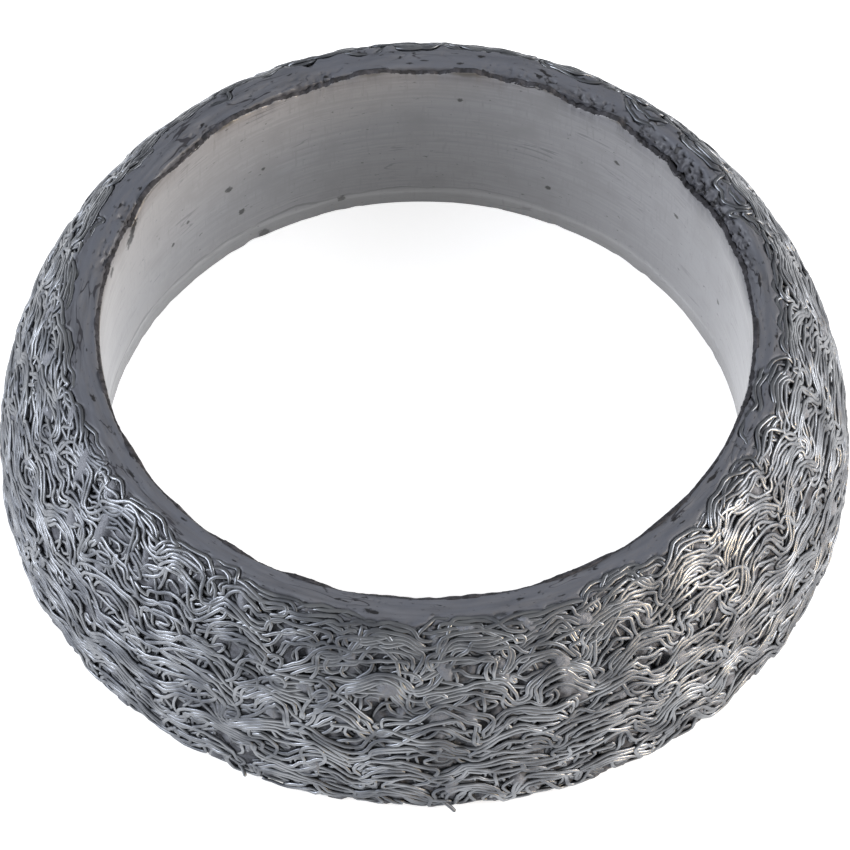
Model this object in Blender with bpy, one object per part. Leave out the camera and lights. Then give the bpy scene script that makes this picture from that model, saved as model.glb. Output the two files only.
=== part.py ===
"""Spherical exhaust gasket: one ring of knitted steel wire and graphite, pressed to shape in a die.

The ring stands on its large flat face. The origin is the centre of that face, and +Z runs up the bore.
All sizes are in metres.
"""

import math

import bpy
import numpy as np

# The turned form that the die gives the ring
OUTSIDE_DIAMETER = 0.0690
WALL = 0.0085  # between the bore and the widest circle
BORE_DIAMETER = OUTSIDE_DIAMETER - 2 * WALL
HEIGHT = 0.0177
CROWN_RADIUS = 0.0251  # of the convex side, seen in section
WIDEST_HEIGHT = 0.0019  # of the widest circle above the large face

# The smooth skin of the bore stops short of the small face, in a torn edge
SKIN_STOP = 0.0006  # mean distance from the small face
SKIN_STEP = 0.0003  # how much wider the bore is past the skin
SKIN_TEAR = 0.0004  # most that the torn edge wanders up or down
TEAR_WAVE = 0.0120  # length of those wanderings

# The knitted wire: bundles of parallel wires run round the ring as wavy strands, with pockets between them
STRAND_WIDTH = 0.00115
STRAND_RELIEF = 0.00070  # from the floor of a wide pocket up to the strands' flattened backs
LOOP_WIDTH = 0.0082  # one wave of a strand, along the ring
NEIGHBOUR_GAP = 0.00010  # between two strands where they meet
BACK_SHARE = 0.65  # of a strand's width is flattened; the rest slopes into the pockets
WIDE_POCKET = 0.0009  # a pocket that is wider than this reaches its full depth
NARROW_DEPTH = 0.4  # depth of the groove between strands that meet, as a share of the full depth
CROSSING_DROP = 0.00015  # how much deeper a strand lies in its troughs, where its neighbour rides over it
LEG_SHARE = 0.5  # of the pockets' length has wires across it
LEG_DROP = 0.00030  # how far such wires lie below the strands' backs
EDGE_FRAY = 0.0007  # most that the flat faces' outer edges draw in between the strands
FRAY_WAVE = 0.0040  # length of those wanderings

# Where pressing has left the strands: each rises gently to a crest and breaks over it like a wave.
# Crest, trough, crest, trough ..., each as (turn in degrees, way down the convex side in per cent).
STRAND_BENDS = (
    (
        (-161.9, 2), (-156.1, 11), (-150.0, 2), (-146.8, 11), (-139.0, 0), (-135.2, 9), (-126.7, 1),
        (-123.2, 11), (-117.9, 2), (-113.3, 8), (-103.3, -1), (-99.8, 8), (-95.0, 4), (-88.0, 9),
        (-83.0, -2), (-75.6, 6), (-69.4, 2), (-63.6, 8), (-56.5, -3), (-52.8, 7), (-44.8, 1),
        (-40.9, 8), (-32.9, -2), (-26.9, 6), (-20.8, 1), (-16.3, 9), (-10.8, -2), (-6.6, 8),
    ),
    (
        (-165.7, 13), (-161.4, 23), (-153.3, 9), (-149.5, 21), (-140.0, 8), (-137.2, 24), (-128.7, 10),
        (-125.1, 22), (-120.6, 12), (-115.4, 19), (-107.5, 8), (-104.3, 18), (-96.2, 7), (-90.0, 18),
        (-81.0, 6), (-76.4, 16), (-69.4, 7), (-65.3, 16), (-55.5, 6), (-51.5, 16), (-45.2, 9),
        (-39.2, 16), (-32.6, 4), (-26.4, 18), (-20.8, 10), (-16.4, 18), (-10.5, 8), (-6.0, 19),
    ),
    (
        (-157.8, 23), (-153.8, 31), (-149.8, 23), (-145.1, 37), (-140.5, 26), (-135.2, 34), (-128.4, 25),
        (-123.7, 35), (-116.6, 23), (-110.8, 32), (-95.7, 12), (-90.7, 25), (-83.0, 14), (-78.4, 26),
        (-72.2, 17), (-67.3, 28), (-59.5, 13), (-54.8, 24), (-45.7, 17), (-41.5, 27), (-32.6, 15),
        (-27.4, 26), (-21.3, 19), (-16.9, 27), (-11.3, 18), (-6.6, 28),
    ),
    (
        (-162.8, 37), (-156.1, 45), (-150.3, 37), (-144.5, 49), (-137.8, 39), (-131.5, 48), (-120.9, 36),
        (-115.1, 46), (-109.9, 35), (-104.6, 39), (-95.3, 25), (-90.0, 35), (-81.0, 28), (-76.6, 42),
        (-69.8, 29), (-64.4, 40), (-57.0, 30), (-52.0, 40), (-46.2, 29), (-40.9, 43), (-32.9, 29),
        (-28.2, 40), (-21.9, 28), (-16.9, 39), (-10.0, 32), (-5.5, 42),
    ),
    (
        (-156.9, 49), (-151.1, 57), (-143.7, 51), (-137.0, 58), (-121.2, 48), (-115.1, 56), (-110.4, 44),
        (-106.8, 54), (-102.1, 40), (-95.5, 55), (-86.7, 42), (-81.4, 53), (-74.7, 46), (-68.4, 52),
        (-60.6, 43), (-54.8, 51), (-49.0, 45), (-43.5, 53), (-35.7, 46), (-29.1, 54), (-22.4, 48),
        (-16.6, 57), (-10.0, 49), (-5.0, 57),
    ),
    (
        (-161.1, 64), (-155.3, 70), (-147.8, 64), (-141.2, 72), (-132.9, 65), (-127.5, 70), (-119.6, 55),
        (-116.8, 66), (-105.5, 57), (-98.8, 65), (-91.0, 56), (-83.4, 64), (-75.6, 58), (-71.1, 65),
        (-66.1, 58), (-55.6, 64), (-49.5, 56), (-44.0, 65), (-39.0, 58), (-34.0, 66), (-28.2, 60),
        (-22.4, 68), (-15.8, 62), (-8.3, 69),
    ),
    (
        (-162.8, 76), (-156.1, 83), (-149.5, 76), (-142.8, 83), (-136.2, 75), (-126.2, 83), (-116.3, 71),
        (-109.6, 79), (-103.8, 72), (-98.8, 78), (-93.0, 71), (-87.2, 77), (-78.9, 71), (-72.4, 78),
        (-64.8, 68), (-57.8, 77), (-52.8, 69), (-48.2, 77), (-43.5, 71), (-38.2, 79), (-31.6, 73),
        (-24.9, 81), (-18.3, 74), (-10.8, 82),
    ),
    (
        (-159.4, 89), (-152.8, 95), (-146.1, 88), (-139.5, 95), (-132.9, 88), (-127.0, 95), (-119.2, 85),
        (-113.6, 95), (-106.3, 87), (-100.5, 95), (-94.7, 86), (-88.0, 94), (-82.2, 85), (-77.7, 94),
        (-73.7, 85), (-68.8, 94), (-63.9, 85), (-57.1, 94), (-52.1, 81), (-46.8, 94), (-39.9, 85),
        (-33.2, 95), (-26.6, 87), (-19.9, 95), (-13.3, 87), (-6.6, 95),
    ),
)
TURN_JITTER = 1.2  # in degrees, of the bends on the far side, which are made up
DOWN_JITTER = 1.5  # in per cent of the convex side, of the same bends
FIRST_BEND_SEED = 500

# How the torn and frayed edges wander
WAVE_SPREAD = (0.7, 1.6)  # shortest and longest wave, as shares of the usual length
WAVES = 9  # added up in each wandering

# Mesh density
COLUMNS = 204
SHARP_ANGLE = math.radians(50)
SEED = 7

FINISHES = {
    "steel_wire": {"color": (0.30, 0.32, 0.35), "metallic": 0.9, "roughness": 0.42},
    "graphite": {"color": (0.12, 0.125, 0.145), "metallic": 0.0, "roughness": 0.55},
    "bore_skin": {"color": (0.32, 0.32, 0.335), "metallic": 0.0, "roughness": 0.5},
}


def clear_scene():
    for item in list(bpy.data.objects):
        bpy.data.objects.remove(item)


def finish_material(name):
    """A Principled material with one of the ring's three finishes."""
    material = bpy.data.materials.new(name)
    material.use_nodes = True
    shader = material.node_tree.nodes["Principled BSDF"]
    finish = FINISHES[name]
    shader.inputs["Base Color"].default_value = (*finish["color"], 1.0)
    shader.inputs["Metallic"].default_value = finish["metallic"]
    shader.inputs["Roughness"].default_value = finish["roughness"]
    return material


class Crown:
    """The convex side in section: an arc, and distances down it from the small face's edge."""

    def __init__(self):
        self.centre_radius = OUTSIDE_DIAMETER / 2 - CROWN_RADIUS
        self.top = self.angle_at(HEIGHT)
        self.length = CROWN_RADIUS * (self.top - self.angle_at(0.0))

    def angle_at(self, height):
        return math.asin((height - WIDEST_HEIGHT) / CROWN_RADIUS)

    def radius_at(self, height):
        return self.centre_radius + CROWN_RADIUS * math.cos(self.angle_at(height))

    def point(self, down, raised):
        """(radius, height) of a point this far down the arc, raised from it along its normal."""
        angle = self.top - down / CROWN_RADIUS
        reach = CROWN_RADIUS + raised
        return self.centre_radius + reach * np.cos(angle), WIDEST_HEIGHT + reach * np.sin(angle)


def wandering(rng, usual_length):
    """A smooth, seeded function of the turn and the height, from -1 to 1, that closes round the ring."""
    headings = rng.uniform(0, 2 * math.pi, WAVES)
    lengths = usual_length * rng.uniform(*WAVE_SPREAD, WAVES)
    phases = rng.uniform(0, 2 * math.pi, WAVES)
    turns = np.round(math.pi * OUTSIDE_DIAMETER / lengths * np.cos(headings))
    falls = 2 * math.pi / lengths * np.sin(headings)

    def value(turn, height):
        waves = [np.cos(turns[i] * turn + falls[i] * height + phases[i]) for i in range(WAVES)]
        return np.clip(sum(waves) / math.sqrt(WAVES), -1, 1)

    return value


def round_the_back(traced, seed):
    """All bends of a strand in (degrees, per cent): those given, and more of the kind on the far side."""
    traced = np.array(traced, dtype=float)
    gap = 360 + traced[0, 0] - traced[-1, 0]
    usual = 360 * LOOP_WIDTH / (math.pi * OUTSIDE_DIAMETER)
    amount = 2 * round(gap / usual - 0.5)
    rng = np.random.default_rng(seed)
    turns = traced[-1, 0] + np.arange(1, amount + 1) * gap / (amount + 1)
    turns = turns + rng.uniform(-TURN_JITTER, TURN_JITTER, amount)
    downs = np.tile([traced[0::2, 1].mean(), traced[1::2, 1].mean()], amount // 2)
    downs = downs + rng.uniform(-DOWN_JITTER, DOWN_JITTER, amount)
    return np.concatenate([traced, np.stack([turns, downs], axis=1)])


class Knit:
    """The strands on the convex side, from the small face down."""

    def __init__(self, crown, turns, rng):
        self.crown = crown
        self.turns = turns
        self.rng = rng
        self.middles = []
        self.lowness = []
        for number, traced in enumerate(STRAND_BENDS):
            self.add_strand(round_the_back(traced, FIRST_BEND_SEED + number))

    def add_strand(self, bends):
        """Where a strand's middle runs, kept clear of the strand above and with room for those below."""
        degrees = np.mod(np.degrees(self.turns) - bends[0, 0], 360)
        number = np.searchsorted(bends[:, 0] - bends[0, 0], degrees, side="right") - 1
        closed = np.concatenate([bends, bends[:1] + (360, 0)])
        here = closed[number]
        there = closed[number + 1]
        share = (degrees + bends[0, 0] - here[:, 0]) / (there[:, 0] - here[:, 0])
        ease = (1 - np.cos(math.pi * share)) / 2
        down = (here[:, 1] + ease * (there[:, 1] - here[:, 1])) / 100 * self.crown.length
        pitch = STRAND_WIDTH + NEIGHBOUR_GAP
        still_to_come = len(STRAND_BENDS) - len(self.middles) - 0.5
        highest = self.middles[-1] + pitch if self.middles else pitch / 2
        down = np.maximum(np.minimum(down, self.crown.length - still_to_come * pitch), highest)
        self.middles.append(down)
        self.lowness.append(np.where(number % 2 == 0, ease, 1 - ease))

    def line(self, down, raised):
        """(turn, radius, height) of a line round the ring."""
        return self.turns, *self.crown.point(down, raised)

    def pocket(self, above, below):
        """The line along the floor between two strands, with the wires that cross it."""
        width = below - above - STRAND_WIDTH
        depth = STRAND_RELIEF * np.clip(width / WIDE_POCKET, NARROW_DEPTH, 1)
        crossed = (width > WIDE_POCKET) & (self.rng.random(len(self.turns)) < LEG_SHARE)
        return self.line((above + below) / 2, -np.where(crossed, LEG_DROP, depth))

    def lines(self):
        """Two lines along every strand's flattened back, and one along the pockets to the next strand."""
        lines = []
        half_back = BACK_SHARE * STRAND_WIDTH / 2
        for number, middle in enumerate(self.middles):
            back = -CROSSING_DROP * self.lowness[number]
            lines.append(self.line(middle - half_back, back))
            lines.append(self.line(middle + half_back, back))
            if number + 1 < len(self.middles):
                lines.append(self.pocket(middle, self.middles[number + 1]))
        return lines


def ring_lines(rng):
    """Every line round the ring, with the finish of the surface from each line to the next.

    They run down the knit from the small face's outer edge, across the large face, up the bore and
    out across the small face.
    """
    crown = Crown()
    turns = np.linspace(0, 2 * math.pi, COLUMNS, endpoint=False)
    knit = Knit(crown, turns, rng).lines()
    fray = wandering(rng, FRAY_WAVE)
    tear = wandering(rng, TEAR_WAVE)
    level = np.ones(len(turns))

    def frayed(height):
        drawn_in = EDGE_FRAY * (1 + fray(turns, height)) / 2
        return turns, crown.radius_at(height) - drawn_in, height * level

    bore = BORE_DIAMETER / 2 * level
    skin_edge = HEIGHT - SKIN_STOP + SKIN_TEAR * tear(turns, 0.0)
    lines = [(frayed(HEIGHT), "steel_wire")]
    lines += [(line, "steel_wire") for line in knit]
    lines += [
        (frayed(0.0), "graphite"),
        ((turns, bore, 0.0 * level), "bore_skin"),
        ((turns, bore, skin_edge), "graphite"),
        ((turns, bore + SKIN_STEP, skin_edge), "graphite"),
        ((turns, bore + SKIN_STEP, HEIGHT * level), "graphite"),
    ]
    return lines


def gasket_ring(rng):
    """The whole ring as one closed surface: neighbouring lines are joined, and the last to the first."""
    lines = ring_lines(rng)
    turn, radius, height = (np.array([line[part] for line, finish in lines]) for part in range(3))
    points = np.stack([radius * np.cos(turn), radius * np.sin(turn), height], axis=-1)
    rows, columns = turn.shape
    index = np.arange(rows * columns).reshape(rows, columns)
    below = np.roll(index, -1, axis=0)
    corners = [index, below, np.roll(below, -1, axis=1), np.roll(index, -1, axis=1)]
    faces = np.stack(corners, axis=-1)
    mesh = bpy.data.meshes.new("gasket_ring")
    mesh.from_pydata(points.reshape(-1, 3).tolist(), [], faces.reshape(-1, 4).tolist())
    names = list(FINISHES)
    for name in names:
        mesh.materials.append(finish_material(name))
    slots = np.repeat([names.index(finish) for line, finish in lines], columns)
    mesh.polygons.foreach_set("material_index", slots)
    mesh.shade_smooth()
    mesh.set_sharp_from_angle(angle=SHARP_ANGLE)
    return bpy.data.objects.new("gasket_ring", mesh)


def main():
    clear_scene()
    bpy.context.collection.objects.link(gasket_ring(np.random.default_rng(SEED)))


main()
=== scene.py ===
# %% [markdown]
# # A spherical exhaust gasket, dressed for its portrait
#
# The ring seals a ball joint in a car's exhaust. It is made by winding a knitted tube of thin steel
# wire together with graphite, and pressing the roll in a die until it is one dense body. The die
# leaves a smooth bore, two flat ends and a convex side where the flattened wires show.
#
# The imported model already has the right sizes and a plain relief. This lesson dresses it: first real
# wires, then the graphite and the skin of the bore, then finishes, light and camera.

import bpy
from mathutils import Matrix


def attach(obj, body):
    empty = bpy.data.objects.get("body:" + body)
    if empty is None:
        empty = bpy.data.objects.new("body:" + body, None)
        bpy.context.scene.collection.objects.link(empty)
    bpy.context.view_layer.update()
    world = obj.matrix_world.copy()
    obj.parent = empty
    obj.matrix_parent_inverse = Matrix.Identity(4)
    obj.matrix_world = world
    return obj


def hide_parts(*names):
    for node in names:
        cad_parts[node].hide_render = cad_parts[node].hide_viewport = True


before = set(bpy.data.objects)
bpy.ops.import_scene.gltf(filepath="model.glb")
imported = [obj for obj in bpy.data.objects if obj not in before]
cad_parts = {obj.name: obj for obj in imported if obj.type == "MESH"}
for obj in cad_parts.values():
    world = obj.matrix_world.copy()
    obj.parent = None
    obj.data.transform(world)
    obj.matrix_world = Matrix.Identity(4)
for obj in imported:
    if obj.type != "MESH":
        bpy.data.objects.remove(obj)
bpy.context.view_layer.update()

import math

import bpy
import numpy as np
from mathutils import Matrix, Vector
from mathutils.kdtree import KDTree

# %% [markdown]
# ## The shape that the die leaves
#
# The ring is a turned form, so one half-section describes it. We walk along that section: out
# across the small flat face, down the convex side, and in across the large flat face. A place on
# the ring is then three numbers: how far round it is, how far down the walk, and how far it stands
# out from the die's surface. Real pressed edges are a little round, so the walk is smoothed at its
# two corners.

# %% Sizes of the ring
MM = 0.001
BORE_RADIUS = 26.0 * MM
WIDEST_RADIUS = 34.5 * MM
HEIGHT = 17.7 * MM
CROWN_RADIUS = 25.1 * MM
WIDEST_HEIGHT = 1.9 * MM
CORNER_ROUND = 0.9 * MM

ARC_CENTRE = WIDEST_RADIUS - CROWN_RADIUS
TOP_ANGLE = math.asin((HEIGHT - WIDEST_HEIGHT) / CROWN_RADIUS)
BOTTOM_ANGLE = math.asin(-WIDEST_HEIGHT / CROWN_RADIUS)
SIDE_LENGTH = CROWN_RADIUS * (TOP_ANGLE - BOTTOM_ANGLE)
SMALL_FACE_RADIUS = ARC_CENTRE + CROWN_RADIUS * math.cos(TOP_ANGLE)
LARGE_FACE_RADIUS = ARC_CENTRE + CROWN_RADIUS * math.cos(BOTTOM_ANGLE)
AROUND = 2 * math.pi * WIDEST_RADIUS
print(f"convex side {SIDE_LENGTH / MM:.1f} mm long, small face to radius {SMALL_FACE_RADIUS / MM:.2f} mm")

# %% The walk along the section
WALK_STEP = 0.02 * MM
BEYOND_EDGES = 4.0 * MM


def smoothed(values, window):
    """The values averaged over the window, as if they ran straight on past both ends."""
    half = len(window) // 2
    before = values[0] + np.arange(-half, 0) * (values[1] - values[0])
    after = values[-1] + np.arange(1, half + 1) * (values[-1] - values[-2])
    return np.convolve(np.concatenate([before, values, after]), window, mode="valid")


def section_walk():
    """Distances down the walk (0 at the small face's rim), with the place and normal at each."""
    down = np.arange(-BEYOND_EDGES, SIDE_LENGTH + BEYOND_EDGES, WALK_STEP)
    angle = TOP_ANGLE - np.clip(down, 0, SIDE_LENGTH) / CROWN_RADIUS
    radius = ARC_CENTRE + CROWN_RADIUS * np.cos(angle)
    radius = radius + np.minimum(down, 0) - np.maximum(down - SIDE_LENGTH, 0)
    height = WIDEST_HEIGHT + CROWN_RADIUS * np.sin(angle)
    normal = np.where(down < 0, math.pi / 2, np.where(down > SIDE_LENGTH, -math.pi / 2, angle))
    window = np.hanning(round(2 * CORNER_ROUND / WALK_STEP) | 1)
    window = window / window.sum()
    return down, smoothed(radius, window), smoothed(height, window), smoothed(normal, window)


WALK, WALK_RADIUS, WALK_HEIGHT, WALK_NORMAL = section_walk()
print(f"the walk has {len(WALK)} stations")

# %% Any place on the ring


def on_ring(along, down, raised=0.0):
    """Points and outward normals; along is the distance round the ring at its widest."""
    turn = along * 2 * math.pi / AROUND
    tilt = np.interp(down, WALK, WALK_NORMAL)
    radius = np.interp(down, WALK, WALK_RADIUS) + raised * np.cos(tilt)
    height = np.interp(down, WALK, WALK_HEIGHT) + raised * np.sin(tilt)
    points = np.stack([radius * np.cos(turn), radius * np.sin(turn), height], axis=-1)
    normals = np.stack(
        [np.cos(tilt) * np.cos(turn), np.cos(tilt) * np.sin(turn), np.sin(tilt)], axis=-1
    )
    return points, normals


middle_of_side, _ = on_ring(0.0, SIDE_LENGTH / 2)
print(f"half way down the side the ring is {2 * middle_of_side[0] / MM:.1f} mm across")

# %% [markdown]
# ## Chance that repeats
#
# Nothing on this ring is regular: pressing crumples the knit. We need randomness that is smooth,
# that closes up after one turn, and that comes out the same each time the file runs. A sum of a few
# cosines with seeded directions and a whole number of waves round the ring gives all three.

# %% A smooth wandering over the ring


def wandering(seed, length, waves=24, stretch=1.0):
    """A smooth function of (along, down), mean 0 and spread 1, that closes round the ring."""
    rng = np.random.default_rng(seed)
    heading = rng.uniform(0, 2 * math.pi, waves)
    # The waves are from two thirds to one and a half times as long as asked.
    size = length * rng.uniform(0.65, 1.6, waves)
    phase = rng.uniform(0, 2 * math.pi, waves)
    turns = np.round(AROUND / size * np.cos(heading) / stretch)
    falls = 2 * math.pi / size * np.sin(heading)

    def value(along, down):
        turn = along * 2 * math.pi / AROUND
        total = 0.0
        for i in range(waves):
            total = total + np.cos(turns[i] * turn + falls[i] * down + phase[i])
        return total * math.sqrt(2 / waves)

    return value


sample = wandering(0, 3 * MM)(np.linspace(0, AROUND, 999), 0.0)
print(f"a wandering runs from {sample.min():.1f} to {sample.max():.1f}")

# %% [markdown]
# ## Meshes from arrays
#
# The wires come to hundreds of thousands of small faces. Adding them one by one is slow, so one
# helper hands Blender whole arrays of points and of four-cornered faces at once. A second helper
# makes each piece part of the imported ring, whose plain surface it stands in for.

# %% A mesh object from arrays


def mesh_object(name, points, quads, caps=()):
    """An object of smooth-shaded quads, with optional many-cornered caps."""
    mesh = bpy.data.meshes.new(name)
    corners = np.concatenate([quads.reshape(-1), *[np.asarray(cap) for cap in caps]])
    sizes = np.concatenate([np.full(len(quads), 4), [len(cap) for cap in caps]]).astype(np.int32)
    starts = np.concatenate([[0], np.cumsum(sizes)[:-1]]).astype(np.int32)
    mesh.vertices.add(len(points))
    mesh.vertices.foreach_set("co", points.astype(np.float32).reshape(-1))
    mesh.loops.add(len(corners))
    mesh.loops.foreach_set("vertex_index", corners.astype(np.int32))
    mesh.polygons.add(len(sizes))
    mesh.polygons.foreach_set("loop_start", starts)
    mesh.update(calc_edges=True)
    mesh.shade_smooth()
    piece = bpy.data.objects.new(name, mesh)
    bpy.context.collection.objects.link(piece)
    return piece


def dress(piece, finish):
    """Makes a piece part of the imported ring, in place of its plain surface."""
    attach(piece, "root")
    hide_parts("gasket_ring")
    print(f"{piece.name}: {len(piece.data.polygons)} faces of {finish}")
    return piece


# %% [markdown]
# ## Where the strands run
#
# From a step away the knit reads as wavy strands that run round the ring. Each rises gently to a
# crest and breaks over it like a wave, and the next strand's loops show in the pocket beneath. The
# bends of every strand on the photographed side were traced. On the far side, which the
# photo doesn't show, more bends of the same kind are made up.

# %% The bends of the strands
# Crest, trough, crest, trough ..., each as (turn in degrees, way down the side in per cent).
STRAND_BENDS = (
    (
        (-161.9, 2), (-156.1, 11), (-150.0, 2), (-146.8, 11), (-139.0, 0), (-135.2, 9), (-126.7, 1),
        (-123.2, 11), (-117.9, 2), (-113.3, 8), (-103.3, -1), (-99.8, 8), (-95.0, 4), (-88.0, 9),
        (-83.0, -2), (-75.6, 6), (-69.4, 2), (-63.6, 8), (-56.5, -3), (-52.8, 7), (-44.8, 1), (-40.9, 8),
        (-32.9, -2), (-26.9, 6), (-20.8, 1), (-16.3, 9), (-10.8, -2), (-6.6, 8),
    ),
    (
        (-165.7, 13), (-161.4, 23), (-153.3, 9), (-149.5, 21), (-140.0, 8), (-137.2, 24), (-128.7, 10),
        (-125.1, 22), (-120.6, 12), (-115.4, 19), (-107.5, 8), (-104.3, 18), (-96.2, 7), (-90.0, 18),
        (-81.0, 6), (-76.4, 16), (-69.4, 7), (-65.3, 16), (-55.5, 6), (-51.5, 16), (-45.2, 9),
        (-39.2, 16), (-32.6, 4), (-26.4, 18), (-20.8, 10), (-16.4, 18), (-10.5, 8), (-6.0, 19),
    ),
    (
        (-157.8, 23), (-153.8, 31), (-149.8, 23), (-145.1, 37), (-140.5, 26), (-135.2, 34), (-128.4, 25),
        (-123.7, 35), (-116.6, 23), (-110.8, 32), (-95.7, 12), (-90.7, 25), (-83.0, 14), (-78.4, 26),
        (-72.2, 17), (-67.3, 28), (-59.5, 13), (-54.8, 24), (-45.7, 17), (-41.5, 27), (-32.6, 15),
        (-27.4, 26), (-21.3, 19), (-16.9, 27), (-11.3, 18), (-6.6, 28),
    ),
    (
        (-162.8, 37), (-156.1, 45), (-150.3, 37), (-144.5, 49), (-137.8, 39), (-131.5, 48), (-120.9, 36),
        (-115.1, 46), (-109.9, 35), (-104.6, 39), (-95.3, 25), (-90.0, 35), (-81.0, 28), (-76.6, 42),
        (-69.8, 29), (-64.4, 40), (-57.0, 30), (-52.0, 40), (-46.2, 29), (-40.9, 43), (-32.9, 29),
        (-28.2, 40), (-21.9, 28), (-16.9, 39), (-10.0, 32), (-5.5, 42),
    ),
    (
        (-156.9, 49), (-151.1, 57), (-143.7, 51), (-137.0, 58), (-121.2, 48), (-115.1, 56), (-110.4, 44),
        (-106.8, 54), (-102.1, 40), (-95.5, 55), (-86.7, 42), (-81.4, 53), (-74.7, 46), (-68.4, 52),
        (-60.6, 43), (-54.8, 51), (-49.0, 45), (-43.5, 53), (-35.7, 46), (-29.1, 54), (-22.4, 48),
        (-16.6, 57), (-10.0, 49), (-5.0, 57),
    ),
    (
        (-161.1, 64), (-155.3, 70), (-147.8, 64), (-141.2, 72), (-132.9, 65), (-127.5, 70), (-119.6, 55),
        (-116.8, 66), (-105.5, 57), (-98.8, 65), (-91.0, 56), (-83.4, 64), (-75.6, 58), (-71.1, 65),
        (-66.1, 58), (-55.6, 64), (-49.5, 56), (-44.0, 65), (-39.0, 58), (-34.0, 66), (-28.2, 60),
        (-22.4, 68), (-15.8, 62), (-8.3, 69),
    ),
    (
        (-162.8, 76), (-156.1, 83), (-149.5, 76), (-142.8, 83), (-136.2, 75), (-126.2, 83), (-116.3, 71),
        (-109.6, 79), (-103.8, 72), (-98.8, 78), (-93.0, 71), (-87.2, 77), (-78.9, 71), (-72.4, 78),
        (-64.8, 68), (-57.8, 77), (-52.8, 69), (-48.2, 77), (-43.5, 71), (-38.2, 79), (-31.6, 73),
        (-24.9, 81), (-18.3, 74), (-10.8, 82),
    ),
    (
        (-159.4, 89), (-152.8, 95), (-146.1, 88), (-139.5, 95), (-132.9, 88), (-127.0, 95), (-119.2, 85),
        (-113.6, 95), (-106.3, 87), (-100.5, 95), (-94.7, 86), (-88.0, 94), (-82.2, 85), (-77.7, 94),
        (-73.7, 85), (-68.8, 94), (-63.9, 85), (-57.1, 94), (-52.1, 81), (-46.8, 94), (-39.9, 85),
        (-33.2, 95), (-26.6, 87), (-19.9, 95), (-13.3, 87), (-6.6, 95),
    ),
)
print(f"{len(STRAND_BENDS)} strands, {sum(len(traced) for traced in STRAND_BENDS)} traced bends")

# %% The bends of the margin
# The knit's margin wanders over the rim of the small face, so its crests lie above the side (< 0).
MARGIN_BENDS = (
    (-157.8, -1), (-152.0, 9), (-145.5, 1), (-142.2, 9), (-139.3, -3), (-131.2, 9), (-125.1, -5),
    (-120.4, 9), (-111.9, -2), (-108.6, 9), (-103.5, -3), (-93.8, 10), (-83.5, -2), (-80.2, 8),
    (-74.7, 2), (-69.8, 9), (-63.4, 1), (-60.5, 8), (-56.6, -4), (-54.6, 7), (-52.8, -2), (-47.5, 9),
    (-39.4, -3), (-35.5, 8), (-30.6, -5), (-23.6, 9), (-12.1, -8), (-10.0, 8), (-8.3, -6), (-4.0, 9),
    (1.5, -3), (7.0, 9), (14.0, -3), (19.5, 7), (23.6, -7), (26.0, 5), (28.6, -7), (34.5, 8), (41.0, -4),
    (45.5, 7), (50.5, -5), (57.0, 8), (64.0, 0), (70.5, 9), (78.5, 2), (85.0, 9), (93.5, 1), (99.0, 10),
    (108.0, 4), (116.0, 10), (123.5, 3), (131.0, 10), (139.0, 4), (147.0, 10), (155.0, 3), (163.5, 10),
    (171.0, 1), (179.5, 9), (187.0, 0), (195.0, 9),
)
print(f"{len(MARGIN_BENDS)} bends of the margin")

# %% Bends that the photo doesn't show
LOOP_WIDTH = 8.2 * MM
# How far a made-up bend may leave its place, in degrees round and in per cent down.
TURN_JITTER = 1.2
DOWN_JITTER = 1.5


def round_the_back(traced, seed, lower=0.0):
    """All bends of a strand, as rows of (along, down) in metres: the traced ones and made-up ones."""
    traced = np.array(traced, dtype=float)
    gap = 360 + traced[0, 0] - traced[-1, 0]
    amount = 2 * round(gap / (360 * LOOP_WIDTH / AROUND) - 0.5)
    rng = np.random.default_rng(seed)
    turns = traced[-1, 0] + np.arange(1, amount + 1) * gap / (amount + 1)
    turns = turns + rng.uniform(-TURN_JITTER, TURN_JITTER, amount)
    downs = np.tile([traced[0::2, 1].mean(), traced[1::2, 1].mean()], amount // 2)
    downs = downs + lower + rng.uniform(-DOWN_JITTER, DOWN_JITTER, amount)
    bends = np.concatenate([traced, np.stack([turns, downs], axis=1)])
    return bends * (AROUND / 360, SIDE_LENGTH / 100)


def regular(middle, rise, loop_width, phase):
    """The bends of a row as the knitting machine leaves it."""
    amount = 2 * round(AROUND / loop_width)
    along = (np.arange(amount) + phase) * AROUND / amount
    down = middle + rise * np.tile([-1, 1], amount // 2)
    return np.stack([along, down], axis=1)


print(f"made-up loops are {LOOP_WIDTH / MM} mm wide")

# %% [markdown]
# ## Lay the wires out
#
# Close up, each strand is several wires side by side, because many layers of loops have been
# pressed onto each other. Under them lie more loops, and these fill the pockets.
#
# Winding and pressing has pushed every part of the cloth a little out of place, so no two wires of
# a strand run quite alike. Every wire is first laid out as a closed path of points a quarter of a
# millimetre apart. A curve object with a bevel could do that too, but arrays of points can be
# pressed in the next step.

# %% A path with even points
WIRE_RADIUS = 0.17 * MM
POINT_STEP = 0.25 * MM
POINTS_PER_BEND = 36


def evenly(points, step):
    """A closed path with its points spread evenly, about step apart."""
    closed = np.concatenate([points, points[:1]])
    distance = np.concatenate([[0], np.cumsum(np.linalg.norm(np.diff(closed, axis=0), axis=1))])
    count = round(distance[-1] / step)
    stations = np.arange(count) * distance[-1] / count
    return np.stack([np.interp(stations, distance, closed[:, axis]) for axis in range(3)], axis=1)


def between_bends(bends, moment):
    """The bends before and after each moment, as (along, down), and the share of the way between."""
    number = np.floor(moment).astype(int)
    found = []
    for bend in (number, number + 1):
        along, down = bends[bend % len(bends)].T
        found.append((along + AROUND * (bend // len(bends)), down))
    return found[0], found[1], moment - number


print(f"the wires are {2 * WIRE_RADIUS / MM} mm thick")

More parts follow.
